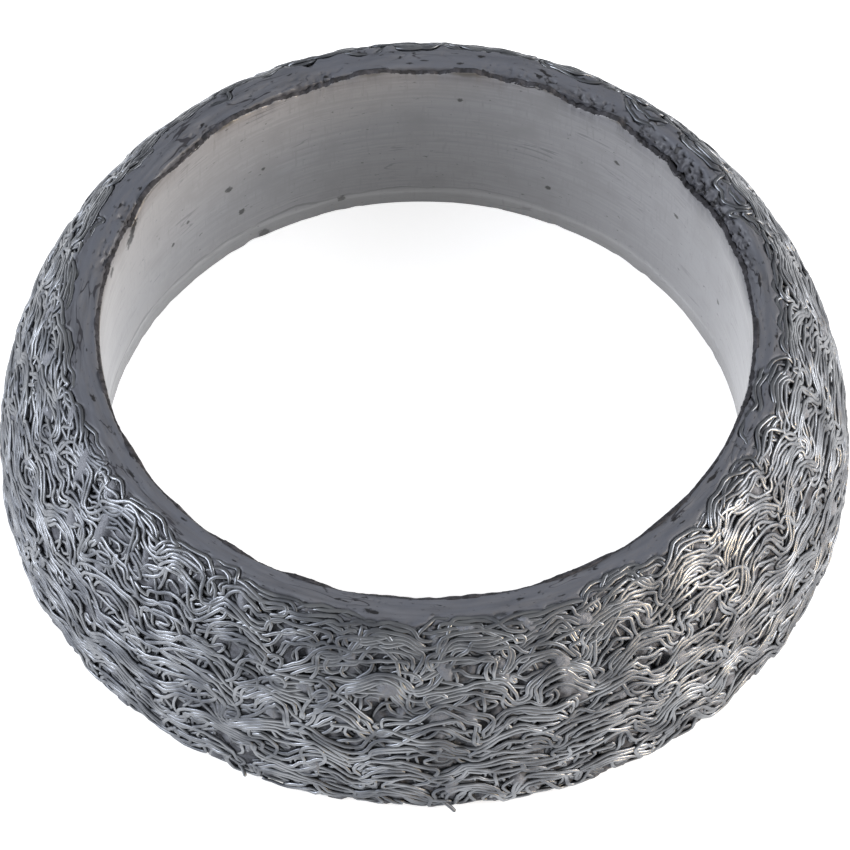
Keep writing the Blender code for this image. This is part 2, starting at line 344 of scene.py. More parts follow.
# %% One strand of wires
NUDGE_ALONG, NUDGE_DOWN = 0.14 * MM, 0.13 * MM
KINK_ALONG, KINK_DOWN = 0.09 * MM, 0.10 * MM
TREMBLE = 0.05 * MM
LIFT = 0.08 * MM
nudge_along = wandering(3, 5.0 * MM)
nudge_down = wandering(4, 4.5 * MM)
kink_along = wandering(5, 1.7 * MM, waves=40)
kink_down = wandering(6, 1.6 * MM, waves=40)


def strand(
    bends,
    wires,
    seed,
    depth,
    drop,
    hook=0.0,
    bulge=0.0,
    lean=0.0,
    slip=0.0,
    swell=0.0,
    pitch=0.43 * MM,
    stray=0.13 * MM,
    kink=1.0,
):
    """Paths of the wires in one strand, which runs round the ring from bend to bend.

    Crests lie depth below the die's surface, and troughs lie drop deeper. A hook makes crests break
    over, a bulge makes every bend round, and lean tilts the loops. Slip and swell make the bends
    uneven, and pitch and stray say how far apart the wires run and how far each leaves its place.
    """
    middle = bends[:, 1].mean()
    time = np.arange(len(bends) * POINTS_PER_BEND) / POINTS_PER_BEND
    bend_alongs = np.append(bends[:, 0], bends[0, 0] + AROUND)
    rough_along = np.interp(time, np.arange(len(bends) + 1), bend_alongs)
    common_slip = slip * wandering(seed, 18 * MM)(rough_along, middle)
    common_swell = swell * wandering(seed + 1, 14 * MM)(rough_along, middle)
    spread = 1 + 0.2 * wandering(seed + 2, 10 * MM)(rough_along, middle)
    leaning = lean * wandering(seed + 3, 11 * MM)(rough_along, middle)
    hooked = hook * (1 + 0.5 * wandering(seed + 4, 10 * MM)(rough_along, middle))
    for wire in range(wires):
        own_slip = 0.07 * wandering(seed + 20 + wire, 9 * MM)(rough_along, middle)
        own_swell = 0.22 * wandering(seed + 100 + wire, 8 * MM)(rough_along, middle)
        own_hook = hooked * (1 + 0.8 * wandering(seed + 120 + wire, 6 * MM)(rough_along, middle))
        moment = time + common_slip + own_slip
        (here_along, here_down), (there_along, there_down), share = between_bends(bends, moment)
        ease = (1 - np.cos(math.pi * share)) / 2
        beat = math.pi * moment
        along = here_along + share * (there_along - here_along)
        along = along + bulge * np.sin(2 * beat) + own_hook * (np.sin(beat) + np.sin(2 * beat) / 2)
        down = here_down + ease * (there_down - here_down)
        down = down + (common_swell + own_swell) * (down - (here_down + there_down) / 2)
        along = along + leaning * (down - middle)
        slope_along = np.gradient(along)
        slope_down = np.gradient(down)
        size = np.hypot(slope_along, slope_down)
        offset = (wire - (wires - 1) / 2) * pitch * spread
        offset = offset + stray * wandering(seed + 40 + wire, 8 * MM)(along, middle)
        offset = offset + TREMBLE * wandering(seed + 80 + wire, 2.4 * MM)(along, middle)
        beside_along = along - offset * slope_down / size
        beside_down = down + offset * slope_along / size
        out_along = beside_along + NUDGE_ALONG * nudge_along(beside_along, beside_down)
        out_along = out_along + KINK_ALONG * kink * kink_along(beside_along, beside_down)
        out_down = beside_down + NUDGE_DOWN * nudge_down(beside_along, beside_down)
        out_down = out_down + KINK_DOWN * kink * kink_down(beside_along, beside_down)
        lift = LIFT * wandering(seed + 60 + wire, 3.5 * MM)(along, middle)
        points, _ = on_ring(out_along, out_down, -depth - drop * (1 - np.cos(beat)) / 2 + lift)
        yield evenly(points, POINT_STEP)


# %% The crown: wires of the traced strands
layers = {"crown": [], "middle": [], "deep": []}
WIRES_IN_STRAND = (3, 3, 4, 4, 4, 4, 4, 3)
# At the back the first strand runs this much lower, in per cent, to leave the small face clean.
LOWER_BEHIND = (3.0, 0.0, 0.0, 0.0, 0.0, 0.0, 0.0, 0.0)
# One looser wire follows each strand a little further on and further down, in the layer beneath.
BENEATH = (0.5 * MM, 1.2 * MM)
for number, (traced, wires, lower) in enumerate(zip(STRAND_BENDS, WIRES_IN_STRAND, LOWER_BEHIND)):
    bends = round_the_back(traced, seed=500 + number, lower=lower)
    layers["crown"] += strand(
        bends,
        wires,
        seed=100 + 200 * number,
        depth=WIRE_RADIUS,
        drop=0.25 * MM,
        hook=0.60 * MM,
        kink=0.3,
    )
    layers["middle"] += strand(
        bends + BENEATH,
        wires=1,
        seed=5000 + 200 * number,
        depth=0.30 * MM,
        drop=0.2 * MM,
        hook=0.95 * MM,
        slip=0.15,
        swell=0.5,
        lean=0.35,
        stray=0.3 * MM,
    )
print(f"{len(layers['crown'])} wires in the crown")

# %% The margin, and the rows beneath
layers["middle"] += strand(
    round_the_back(MARGIN_BENDS, seed=520),
    wires=2,
    seed=900,
    depth=0.10 * MM,
    drop=0.55 * MM,
    hook=0.7 * MM,
    lean=0.4,
    stray=0.2 * MM,
)
ROWS_BENEATH = (
    # layer, rows, wires, loop width, rise, bulge and depth in millimetres, first seed
    ("middle", 7, 1, 5.2, 1.35, 0.88, 0.34, 6000),
    ("middle", 7, 1, 2.6, 0.85, 0.62, 0.42, 7000),
    ("deep", 8, 2, 3.4, 1.10, 0.58, 0.62, 9000),
)
for name, rows, wires, width, rise, bulge, depth, first_seed in ROWS_BENEATH:
    for row in range(rows):
        layers[name] += strand(
            regular((row + 0.5) * SIDE_LENGTH / rows, rise * MM, width * MM, phase=0.77 * row),
            wires=wires,
            seed=first_seed + 200 * row,
            depth=depth * MM,
            drop=0.12 * MM,
            bulge=bulge * MM,
            slip=0.16,
            swell=0.25,
            lean=0.7,
            stray=0.16 * MM,
        )
print(f"{len(layers['middle'])} wires in the middle layer and {len(layers['deep'])} in the deep one")

# %% [markdown]
# ## Press them
#
# On paper the wires pass through each other. In the die they can't: they push each other aside and
# slide over and under one another until they lie side by side. A short simulation does the same.
# It finds the points of different wires that are too near each other and moves them apart, spreads
# each push along its wire as a springy wire would, and keeps every wire inside the die. Blender's
# own cloth could do it too, but is far slower for this many wires.

# %% The die's surface
EDGE_SOFTNESS = 0.8 * MM
SWELL_HEIGHT = 0.07
BUMP_HEIGHT = 0.05
MOST_UNEVEN = 0.08 * MM
swells = wandering(50, 5.0 * MM)
bumps = wandering(51, 2.2 * MM)


def die_surface(points):
    """How far points stand outside the die's surface, and the outward normal there."""
    radius = np.hypot(points[..., 0], points[..., 1])
    across = radius - ARC_CENTRE
    rise = points[..., 2] - WIDEST_HEIGHT
    reach = np.hypot(across, rise)
    along = np.arctan2(points[..., 1], points[..., 0]) * AROUND / (2 * math.pi)
    down = (TOP_ANGLE - np.arctan2(rise, across)) * CROWN_RADIUS
    uneven = (SWELL_HEIGHT * swells(along, down) + BUMP_HEIGHT * bumps(along, down)) * MM
    outside = reach - CROWN_RADIUS - np.minimum(uneven, MOST_UNEVEN)
    slope = np.stack([across / reach, rise / reach], axis=-1)
    for beyond, direction in ((points[..., 2] - HEIGHT, (0.0, 1.0)), (-points[..., 2], (0.0, -1.0))):
        share = np.clip(0.5 + 0.5 * (beyond - outside) / EDGE_SOFTNESS, 0, 1)
        outside = outside + share * (beyond - outside) + EDGE_SOFTNESS * share * (1 - share)
        slope = slope + share[..., None] * (np.array(direction) - slope)
    slope = slope / np.linalg.norm(slope, axis=-1)[..., None]
    flat = points[..., :2] / radius[..., None] * slope[..., :1]
    return outside, np.concatenate([flat, slope[..., 1:]], axis=-1)


round_the_side, _ = on_ring(np.linspace(0, AROUND, 500), np.full(500, SIDE_LENGTH / 2))
hollows, _ = die_surface(round_the_side)
print(f"the die is uneven by {(hollows.max() - hollows.min()) / MM:.2f} mm")

# %% Find the wires that are too near each other
# Points this few steps apart on one wire are neighbours, and may be near each other.
SAME_STRETCH = 4


def near_pairs(points, owner, order, reach):
    """Index pairs of points closer than reach, other than near neighbours on one wire.

    The points are sorted into boxes as wide as reach, so each is set against its own box and the
    boxes next to it only.
    """
    cell = np.floor((points - points.min(axis=0)) / reach).astype(np.int64) + 1
    size = cell.max(axis=0) + 2
    key = (cell[:, 0] * size[1] + cell[:, 1]) * size[2] + cell[:, 2]
    rank = np.argsort(key, kind="stable")
    ordered = key[rank]
    firsts = []
    seconds = []
    for step_x, step_y in ((0, 0), (0, 1), (1, -1), (1, 0), (1, 1)):
        target = key + (step_x * size[1] + step_y) * size[2]
        start = np.searchsorted(ordered, target - 1, "left")
        amount = np.searchsorted(ordered, target + 1, "right") - start
        first = np.repeat(np.arange(len(points)), amount)
        place = np.arange(amount.sum()) - np.repeat(np.cumsum(amount) - amount, amount)
        second = rank[np.repeat(start, amount) + place]
        keep = ((points[first] - points[second]) ** 2).sum(axis=1) < reach**2
        keep &= (owner[first] != owner[second]) | (np.abs(order[first] - order[second]) > SAME_STRETCH)
        if (step_x, step_y) == (0, 0):
            keep &= first < second
        firsts.append(first[keep])
        seconds.append(second[keep])
    return np.concatenate(firsts), np.concatenate(seconds)


# %% Push them apart
ROUNDS = 7
STEPS_A_ROUND = 4
# Points move during a round, so pairs are looked for a little beyond contact.
LOOK_FURTHER = 1.3
# What each step takes: of an overlap, of the neighbours' shift, and of the way to the layer's depth.
PUSH = 1.4
STIFFNESS = 0.3
SETTLE = 0.06
# The share of a wire's radius that may stick out of the die. It is flattened later.
STICKING_OUT = 0.25


def press(paths, depths, contact):
    """Moves the paths until few wires pass through each other and none leaves the die."""
    sizes = np.array([len(path) for path in paths])
    points = np.concatenate(paths)
    start = points.copy()
    count = len(points)
    first_of = np.repeat(np.cumsum(sizes) - sizes, sizes)
    order = np.arange(count) - first_of
    length_of = np.repeat(sizes, sizes)
    owner = np.repeat(np.arange(len(paths)), sizes)
    aim = np.repeat(depths, sizes)
    following = first_of + (order + 1) % length_of
    previous = first_of + (order - 1) % length_of
    for _ in range(ROUNDS):
        first, second = near_pairs(points, owner, order, LOOK_FURTHER * contact)
        for _ in range(STEPS_A_ROUND):
            gap = points[first] - points[second]
            size = np.linalg.norm(gap, axis=1) + 1e-9
            overlap = np.clip(contact - size, 0, None)
            push = gap * (0.5 * overlap / size)[:, None]
            touching = (overlap > 0).astype(float)
            total = np.bincount(first, touching, count) + np.bincount(second, touching, count)
            moved = [
                np.bincount(first, push[:, axis], count) - np.bincount(second, push[:, axis], count)
                for axis in range(3)
            ]
            points = points + PUSH * np.stack(moved, axis=1) / np.maximum(total, 1)[:, None] ** 0.5
            shift = points - start
            shift = (1 - 2 * STIFFNESS) * shift + STIFFNESS * (shift[following] + shift[previous])
            points = start + shift
            outside, normal = die_surface(points)
            points = points + normal * (SETTLE * (aim - outside))[:, None]
            outside, normal = die_surface(points)
            too_far = np.clip(outside + (1 - STICKING_OUT) * WIRE_RADIUS, 0, None)
            points = points - normal * too_far[:, None]
    left = (np.linalg.norm(points[first] - points[second], axis=1) < 0.6 * contact).sum()
    print(f"{count} points, {len(first)} pairs near each other, {left} still overlap much")
    return np.split(points, np.cumsum(sizes)[:-1])


# %% Press all layers together
# How deep each layer settles, in millimetres. Wires may squash each other by a tenth.
PRESS_DEPTHS = {"crown": 0.07, "middle": 0.29, "deep": 0.54}
CONTACT = 1.8 * WIRE_RADIUS
paths = [path for name in layers for path in layers[name]]
depths = np.concatenate([np.full(len(layers[name]), -PRESS_DEPTHS[name] * MM) for name in layers])
pressed = press(paths, depths, CONTACT)
for name in layers:
    layers[name] = [pressed.pop(0) for _ in layers[name]]

# %% [markdown]
# ## A wire as a tube
#
# Each path becomes a thin tube. Its points are spread out again, closer together in bends than on
# straight runs, which saves many faces. The die has flattened what stood out: any part of a tube
# outside the die's surface is pressed down onto it, which leaves the flat backs of the real wires.

# %% Points where a wire bends
BEND_ERROR = 0.024 * MM
SHORTEST_STEP = 0.28 * MM
LONGEST_STEP = 0.9 * MM


def respaced(path):
    """The path with points close together in its bends only."""
    path = 0.5 * path + 0.25 * (np.roll(path, 1, axis=0) + np.roll(path, -1, axis=0))
    before = np.roll(path, 1, axis=0)
    after = np.roll(path, -1, axis=0)
    step = np.linalg.norm(after - path, axis=1)
    bend = np.linalg.norm(after - 2 * path + before, axis=1) / step**2
    bend = 0.5 * bend + 0.25 * (np.roll(bend, 1) + np.roll(bend, -1))
    wanted = np.clip(np.sqrt(8 * BEND_ERROR / np.maximum(bend, 1e-6)), SHORTEST_STEP, LONGEST_STEP)
    share = np.concatenate([[0], np.cumsum(step / wanted)])
    count = round(share[-1])
    stations = np.arange(count) * share[-1] / count
    closed = np.concatenate([path, path[:1]])
    return np.stack([np.interp(stations, share, closed[:, axis]) for axis in range(3)], axis=1)


# %% A tube with a flattened back
# Corners of the section, as angles from the outward side: four of the six are on the side that shows.
SECTION_ANGLES = np.radians([26, 63, 115, 245, 297, 334])
SIDES = len(SECTION_ANGLES)
WIDENING = 0.35


def unit(vectors):
    """The vectors, each made one long."""
    return vectors / np.linalg.norm(vectors, axis=1)[:, None]


def tube(path, radius=WIRE_RADIUS):
    """Rings of points round a closed path, flattened where they would leave the die."""
    path = respaced(path)
    outside, normal = die_surface(path)
    tangent = unit(np.roll(path, -1, axis=0) - np.roll(path, 1, axis=0))
    side = unit(np.cross(tangent, normal))
    outward = np.cross(side, tangent)
    flattened = np.clip(outside + radius, 0, None) / radius
    wide = radius * (1 + WIDENING * flattened)[:, None, None]
    rings = (
        path[:, None, :]
        + outward[:, None, :] * (radius * np.cos(SECTION_ANGLES))[None, :, None]
        + side[:, None, :] * np.sin(SECTION_ANGLES)[None, :, None] * wide
    )
    outside, normal = die_surface(rings)
    return rings - normal * np.clip(outside, 0, None)[..., None]


# %% Gather the tubes into a few pieces
# A piece stays well below 200,000 triangles, so that other programs can open it too.
MOST_TRIANGLES = 180000


def wire_pieces(name, paths):
    """Meshes of closed wires, as few as keep each below the most triangles."""
    tubes = [tube(path) for path in paths]
    ends = np.cumsum([2 * part.shape[0] * SIDES for part in tubes])
    amount = math.ceil(ends[-1] / MOST_TRIANGLES)
    number_of = np.minimum((ends - 1) * amount // ends[-1], amount - 1)
    pieces = []
    for number in range(amount):
        points = []
        quads = []
        count = 0
        for part in (tubes[i] for i in np.flatnonzero(number_of == number)):
            index = count + np.arange(part.shape[0] * SIDES).reshape(-1, SIDES)
            following = np.roll(index, -1, axis=0)
            corners = [index, np.roll(index, -1, axis=1), np.roll(following, -1, axis=1), following]
            points.append(part.reshape(-1, 3))
            quads.append(np.stack(corners, axis=-1).reshape(-1, 4))
            count += part.shape[0] * SIDES
        piece = mesh_object(f"{name}_{number + 1}", np.concatenate(points), np.concatenate(quads))
        pieces.append(dress(piece, "steel_wire"))
    return pieces


wires = [piece for name in layers for piece in wire_pieces(f"{name}_wires", layers[name])]

# %% [markdown]
# ## Wire ends that have sprung out
#
# Where the knit was cut, a few wire ends have escaped the die. They are the only places where the
# ring's outline is broken, so four short ones are enough. Each rises out of the knit in a gentle
# arc and stays above the floor, and its rounded tip is closed by a cap.

# %% Frayed ends
FRAYED_ENDS = (
    # turn in degrees, way down the side in per cent, length and standing out in millimetres
    (-114.9, 93, 1.0, 0.26),
    (-88.3, 93, 1.8, 0.30),
    (28.0, 90, 1.2, 0.28),
    (96.0, 93, 1.6, 0.22),
)
FRAYED_STEPS = 8
ROOT_DEPTH = 0.3
# Distance past the last point and girth of the rings that round the tip, in wire radii.
TIP = ((0.0, 1.0), (0.45, 0.88), (0.80, 0.58), (1.0, 0.12))


def frayed_end(turn, way_down, length, standing):
    """Rings of points along a short wire end, from its hidden root to its rounded tip."""
    share = np.linspace(0, 1, FRAYED_STEPS + 1)
    along = turn / 360 * AROUND + length * MM * share
    down = way_down / 100 * SIDE_LENGTH + 0.5 * length * MM * share**2
    path, normal = on_ring(along, down, -ROOT_DEPTH * MM + (ROOT_DEPTH + standing) * MM * share**2)
    ahead = (path[-1] - path[-2]) / np.linalg.norm(path[-1] - path[-2])
    path = np.concatenate([path[:-1], [path[-1] + far * WIRE_RADIUS * ahead for far, _ in TIP]])
    path[:, 2] = np.maximum(path[:, 2], WIRE_RADIUS)
    girth = WIRE_RADIUS * np.concatenate([np.ones(FRAYED_STEPS), [thick for _, thick in TIP]])
    tangent = unit(np.gradient(path, axis=0))
    side = unit(np.cross(tangent, normal[-1]))
    outward = np.cross(side, tangent)
    angle = np.arange(SIDES) * 2 * math.pi / SIDES
    return (
        path[:, None, :]
        + (girth[:, None] * np.cos(angle))[..., None] * outward[:, None, :]
        + (girth[:, None] * np.sin(angle))[..., None] * side[:, None, :]
    )


points = []
quads = []
caps = []
for number, end in enumerate(FRAYED_ENDS):
    rings = frayed_end(*end)
    index = number * rings.shape[0] * SIDES + np.arange(rings.shape[0] * SIDES).reshape(-1, SIDES)
    turned = np.roll(index, -1, axis=1)
    points.append(rings.reshape(-1, 3))
    quads.append(np.stack([index[:-1], turned[:-1], turned[1:], index[1:]], axis=-1).reshape(-1, 4))
    caps += [index[0][::-1], index[-1]]
frayed = mesh_object("frayed_ends", np.concatenate(points), np.concatenate(quads), caps)
wires.append(dress(frayed, "steel_wire"))

# %% [markdown]
# ## The graphite
#
# Everything between and under the wires is graphite. Most of it is hidden, so a turned body with a
# lumpy side is enough: rows of points round the ring, joined to a closed band. It is deepest in the
# pockets. In a few places the die has pressed wire and graphite to one smooth, burnished patch, and
# there the graphite comes up to the backs of the wires.

# %% Rows round the ring


def ring_mesh(name, points, finish):
    """A piece from rows of points round the ring; the last row joins the first."""
    index = np.arange(points.shape[0] * points.shape[1]).reshape(points.shape[:2])
    below = np.roll(index, -1, axis=0)
    quads = np.stack([index, below, np.roll(below, -1, axis=1), np.roll(index, -1, axis=1)], axis=-1)
    return dress(mesh_object(name, points.reshape(-1, 3), quads.reshape(-1, 4)), finish)


def spun(along, radius, height):
    """One row of points at a radius and height, at these distances round the ring."""
    turn = along * 2 * math.pi / AROUND
    return np.stack([radius * np.cos(turn), radius * np.sin(turn), height + 0 * turn], axis=-1)[None]


# %% Burnished patches
BURNISHED = (
    # distance round the ring, way down the side and half width, in millimetres
    (-57.0, 5.3, 1.3),
    (-60.2, 8.6, 1.1),
    (-52.3, 7.9, 1.2),
    (-70.0, 12.4, 1.4),
    (-41.5, 6.5, 1.1),
)
pressed_hard = wandering(19, 3.5 * MM)


def burnished(along, down):
    """1 where the die has pressed wires and graphite to one smooth patch, and 0 elsewhere."""
    share = np.clip(2 * pressed_hard(along, down) - 2.8, 0, 1)
    lap = AROUND / MM
    for middle_along, middle_down, half in BURNISHED:
        apart = np.abs((along / MM - middle_along + lap / 2) % lap - lap / 2)
        nearness = np.exp(-(((apart**2 + (down / MM - middle_down) ** 2) / half**2) ** 2))
        share = np.maximum(share, nearness)
    return share


print(f"{len(BURNISHED)} burnished patches where the photo has them, and more by chance")

# %% The graphite core
SKIN_THICKNESS = 0.3 * MM
CORE_COLUMNS = 600
CORE_ROWS = 44
CORE_DEPTH = 0.36 * MM
LUMP_HEIGHT = 0.09 * MM
POCKET_DEPTH = 0.40 * MM
BURNISHED_DEPTH = 0.05 * MM
CORE_FLOOR = 0.35 * MM
lumps = wandering(20, 1.8 * MM)
pockets = wandering(18, 3.0 * MM)

along = np.arange(CORE_COLUMNS) * AROUND / CORE_COLUMNS
core_down = np.linspace(0.1 * MM, SIDE_LENGTH + 0.2 * MM, CORE_ROWS)
grid_along, grid_down = np.meshgrid(along, core_down)
sunk = CORE_DEPTH + LUMP_HEIGHT * lumps(grid_along, grid_down)
sunk = sunk + POCKET_DEPTH * np.clip(pockets(grid_along, grid_down) - 0.5, 0, 1.2)
sunk = sunk + burnished(grid_along, grid_down) * (BURNISHED_DEPTH - sunk)
core_rows = [on_ring(grid_along, grid_down, -sunk)[0]]
# The core's other sides are hidden behind the faces and the skin.
for radius, height in (
    (LARGE_FACE_RADIUS - 1.2 * MM, CORE_FLOOR),
    (BORE_RADIUS + 0.5 * SKIN_THICKNESS, CORE_FLOOR),
    (BORE_RADIUS + 0.5 * SKIN_THICKNESS, HEIGHT - 3.0 * MM),
    (SMALL_FACE_RADIUS - 1.2 * MM, HEIGHT - 1.2 * MM),
):
    core_rows.append(spun(along, radius, height))
graphite_core = ring_mesh("graphite_core", np.concatenate(core_rows), "graphite")

# %% [markdown]
# ## The small face
#
# This flat end is the part of the ring that is looked at from closest by. On the real one graphite
# has flowed over it and been wiped along the ring by the die: it has shallow waves, fine cracks, an
# outer margin that gives way to wire, and an inner edge that has crumbled off in places. It is a
# finer mesh of its own, so that all of these can be real relief.

# %% Where the inner edge has broken away
DAMAGE = (
    # middle and half width in degrees, depth in millimetres
    (38, 13, 1.05),
    (19, 7, 0.55),
    (60, 5, 0.45),
    (70, 7, 0.25),
    (77, 5, 0.2),
    (111, 6, 0.30),
    (133, 4, 0.30),
    (156, 2.5, 0.45),
    (167, 4, 0.35),
    (-12, 4, 0.6),
)


def damage(along):
    """How far the inner edge has broken away, in metres."""
    turn = np.degrees(along * 2 * math.pi / AROUND)
    total = 0.0
    for middle, half, depth in DAMAGE:
        distance = (turn - middle + 180) % 360 - 180
        total = total + depth * MM * np.exp(-((distance / half) ** 2))
    return total


print(f"{len(DAMAGE)} worn places, {max(depth for _, _, depth in DAMAGE)} mm deep at most")

# %% Grooves beside the wires that lie on the face
GROOVE_DEPTH = 0.20 * MM
GROOVE_REACH = 0.36 * MM
NEAR_THE_FACE = 0.75 * MM


def groove_share(points):
    """1 beside the wires that lie on the small face, and 0 away from them."""
    laid = np.concatenate(layers["crown"] + layers["middle"])
    laid = laid[laid[:, 2] > HEIGHT - NEAR_THE_FACE]
    finder = KDTree(len(laid))
    for number, place in enumerate(laid):
        finder.insert(place, number)
    finder.balance()
    distance = np.array([finder.find(point)[2] for point in points])
    share = np.clip((GROOVE_REACH - distance) / (GROOVE_REACH - WIRE_RADIUS), 0, 1)
    return share * share * (3 - 2 * share)


# %% The face's surface
FACE_COLUMNS = 1440
FACE_WIDTH = 2.45 * MM
BELOW_THE_DIE = 0.05 * MM
WAVE_HEIGHT = 0.028 * MM
GRAIN_HEIGHT = 0.012 * MM
CRACK_DEPTH = 0.12 * MM
waves = wandering(21, 1.1 * MM, stretch=5)
grain = wandering(22, 0.5 * MM, stretch=4)
crack_line = wandering(23, 1.6 * MM, stretch=7)
crack_place = wandering(24, 5 * MM, stretch=2)
crumbs = wandering(25, 0.9 * MM, waves=40)
margin = wandering(26, 3.2 * MM)
pitted = wandering(27, 0.45 * MM, waves=40, stretch=2.5)

along = np.arange(FACE_COLUMNS) * AROUND / FACE_COLUMNS
over_the_rim = np.linspace(0.9 * MM, -0.4 * MM, 10)
across_the_face = np.linspace(-0.5 * MM, -FACE_WIDTH, 22)
grid_along, grid_down = np.meshgrid(along, np.concatenate([over_the_rim, across_the_face]))
crack = np.clip(1 - np.abs(crack_line(grid_along, grid_down)) / 0.10, 0, 1)
crack = crack * np.clip(crack_place(grid_along, grid_down) - 0.2, 0, 1)
raised = WAVE_HEIGHT * waves(grid_along, grid_down) + GRAIN_HEIGHT * grain(grid_along, grid_down)
raised = raised - BELOW_THE_DIE - CRACK_DEPTH * crack

# The inner half of the face crumbles where the edge is worn, with slits along the ring.
inner = np.clip((-grid_down - 1.3 * MM) / (1.2 * MM), 0, 1)
crumbled = inner**1.4 * (0.9 + 0.2 * np.clip(crumbs(grid_along, grid_down), -1, 1))
slits = 0.5 * np.minimum(4 * inner, 1) * np.clip(pitted(grid_along, grid_down) - 0.7, 0, 0.8)
raised = raised - (crumbled + slits) * damage(grid_along)

# The outer half lies a little lower, and falls away under the wires at a wavy margin.
ledge = np.clip((grid_down + 1.3 * MM) / (0.6 * MM), 0, 1)
margin_line = 0.3 * MM * margin(grid_along, 0 * grid_down)
outer_edge = np.clip((grid_down - 0.1 * MM + margin_line) / (0.7 * MM), 0, 1)
raised = np.minimum(raised, 0.0) - 0.10 * MM * ledge**2 - 0.6 * MM * outer_edge**1.5
face_points, _ = on_ring(grid_along, grid_down, raised)
raised = raised - GROOVE_DEPTH * groove_share(face_points.reshape(-1, 3)).reshape(raised.shape)
print(f"the small face dips to {-raised.min() / MM:.2f} mm below the die")

# %% The face's inner edge
# Steps down from the face into the bore, as (into the bore, down) in millimetres.
EDGE_STEPS = ((0.10, 0.05), (0.15, 0.16), (0.16, 0.5), (0.14, 1.0), (0.14, 2.6))
LAND_WIDTH = SMALL_FACE_RADIUS - BORE_RADIUS
face_rows = [on_ring(grid_along, grid_down, raised)[0]]
edge_height = HEIGHT + np.minimum(raised[-1], 0)
for step, (inward, drop) in enumerate(EDGE_STEPS):
    rough = (0.02 * MM + 0.10 * damage(along)) * crumbs(along, -LAND_WIDTH - drop * MM)
    radius = SMALL_FACE_RADIUS - FACE_WIDTH - inward * MM + rough * min(step, 1) + 0.25 * damage(along)
    face_rows.append(spun(along, radius, edge_height - drop * MM))
face_rows.append(spun(along, SMALL_FACE_RADIUS - 1.0 * MM, HEIGHT - 2.6 * MM))
small_face = ring_mesh("small_face", np.concatenate(face_rows), "graphite")

# %% [markdown]
# ## The large face
#
# The ring stands on this end. It is the same wiped graphite, pressed flat against the bottom of the
# die, with only faint hollows. The photo doesn't show it, so it is a plainer mesh. It closes the
# ring from below, inside the last wires.

# %% The large face
FACE_EDGE = 0.50 * MM
HOLLOW, HOLLOW_WAVES, HOLLOW_GRAIN = 0.05, 0.025, 0.012
coarse_along = along[::2]
face_rows = [
    spun(coarse_along, LARGE_FACE_RADIUS - 0.50 * MM, FACE_EDGE),
    spun(coarse_along, LARGE_FACE_RADIUS - 0.55 * MM, 0.16 * MM),
]
for inward in np.concatenate([np.linspace(0.7, 1.3, 3), np.linspace(1.7, 8.2, 16)]) * MM:
    hollow = HOLLOW + HOLLOW_WAVES * waves(coarse_along, -inward)
    hollow = hollow + HOLLOW_GRAIN * grain(coarse_along, -inward)
    face_rows.append(spun(coarse_along, LARGE_FACE_RADIUS - inward, np.clip(hollow, 0.01, None) * MM))
face_rows.append(spun(coarse_along, BORE_RADIUS + 0.6 * SKIN_THICKNESS, FACE_EDGE))
large_face = ring_mesh("large_face", np.concatenate(face_rows), "graphite")

# %% [markdown]
# ## The skin of the bore
#
# The mandrel in the die rolls the bore to a thin smooth skin. It ends just below the small face in
# a ragged, torn edge, and where the face has crumbled away the skin is torn lower too. A thin
# closed shell between two turned walls shows that thickness at the edge, as a flat sheet wouldn't.

# %% The bore's skin
SKIN_STOP = 0.36 * MM
LEAST_STOP = 0.14 * MM
tear_long = wandering(30, 9 * MM)
tear_short = wandering(31, 1.6 * MM, waves=40)
tear_fine = wandering(32, 0.55 * MM, waves=40)
foot = wandering(33, 3.0 * MM, waves=40)
ripple = wandering(34, 6 * MM, stretch=2)
level = 0 * along
worn = np.clip(damage(along) / MM, 0, 1)
torn = 0.20 * tear_long(along, level)
torn = torn + (0.03 + 0.09 * worn) * tear_short(along, level)
torn = torn + (0.006 + 0.03 * worn) * tear_fine(along, level)
skin_top = HEIGHT - np.clip(SKIN_STOP + torn * MM + damage(along), LEAST_STOP, None)
skin_foot = 0.03 * MM + 0.08 * MM * np.clip(foot(along, level) - 0.3, 0, None)
skin_rows = []
for share in np.linspace(0, 1, 9):
    height = skin_foot + share * (skin_top - skin_foot)
    skin_rows.append(spun(along, BORE_RADIUS + 0.02 * MM * ripple(along, height), height))
skin_rows.append(spun(along, BORE_RADIUS + 0.05 * MM, skin_top + 0.05 * MM))
skin_rows.append(spun(along, BORE_RADIUS + SKIN_THICKNESS, skin_top - 0.02 * MM))
skin_rows.append(spun(along, BORE_RADIUS + SKIN_THICKNESS, skin_foot))
bore_skin = ring_mesh("bore_skin", np.concatenate(skin_rows)[::-1], "bore_skin")

# %% [markdown]
# ## The torn edge
#
# Between the skin and the small face the graphite lies open in a thin, crumbling line. Its dark
# colour is partly the crumbled graphite and partly painted shade of the crevice. It is a narrow
# band of its own that follows the skin's edge, and it is roughest where the edge is most worn, so
# the dark line there breaks up into crumbs.

# %% The torn rim
RIM_SECTION = (
    # into the wall and above the skin's edge, in millimetres
    (0.45, -0.2),
    (0.03, -0.12),
    (0.03, 0.03),
    (0.10, 0.07),
    (0.20, 0.12),
    (0.33, 0.18),
    (0.45, 0.2),
)
RIM_HIDDEN = 0.45
rim_coarse = wandering(36, 0.7 * MM, waves=40)
rim_fine = wandering(37, 0.3 * MM, waves=40)
rim_patches = np.clip(wandering(38, 2.5 * MM)(along, level), 0, 1.5)
rim_rows = []
for into_wall, rise in RIM_SECTION:
    spot = (into_wall + rise) * MM
    crumb = 0.6 * rim_coarse(along, spot) + 0.4 * rim_fine(along, spot)
    rough = (0.015 + 0.16 * worn * rim_patches) * crumb * MM * (into_wall < RIM_HIDDEN)
    radius = BORE_RADIUS + into_wall * MM - 0.6 * np.maximum(rough, 0) * (rise > 0)
    rim_rows.append(spun(along, radius, skin_top + rise * MM + rough))
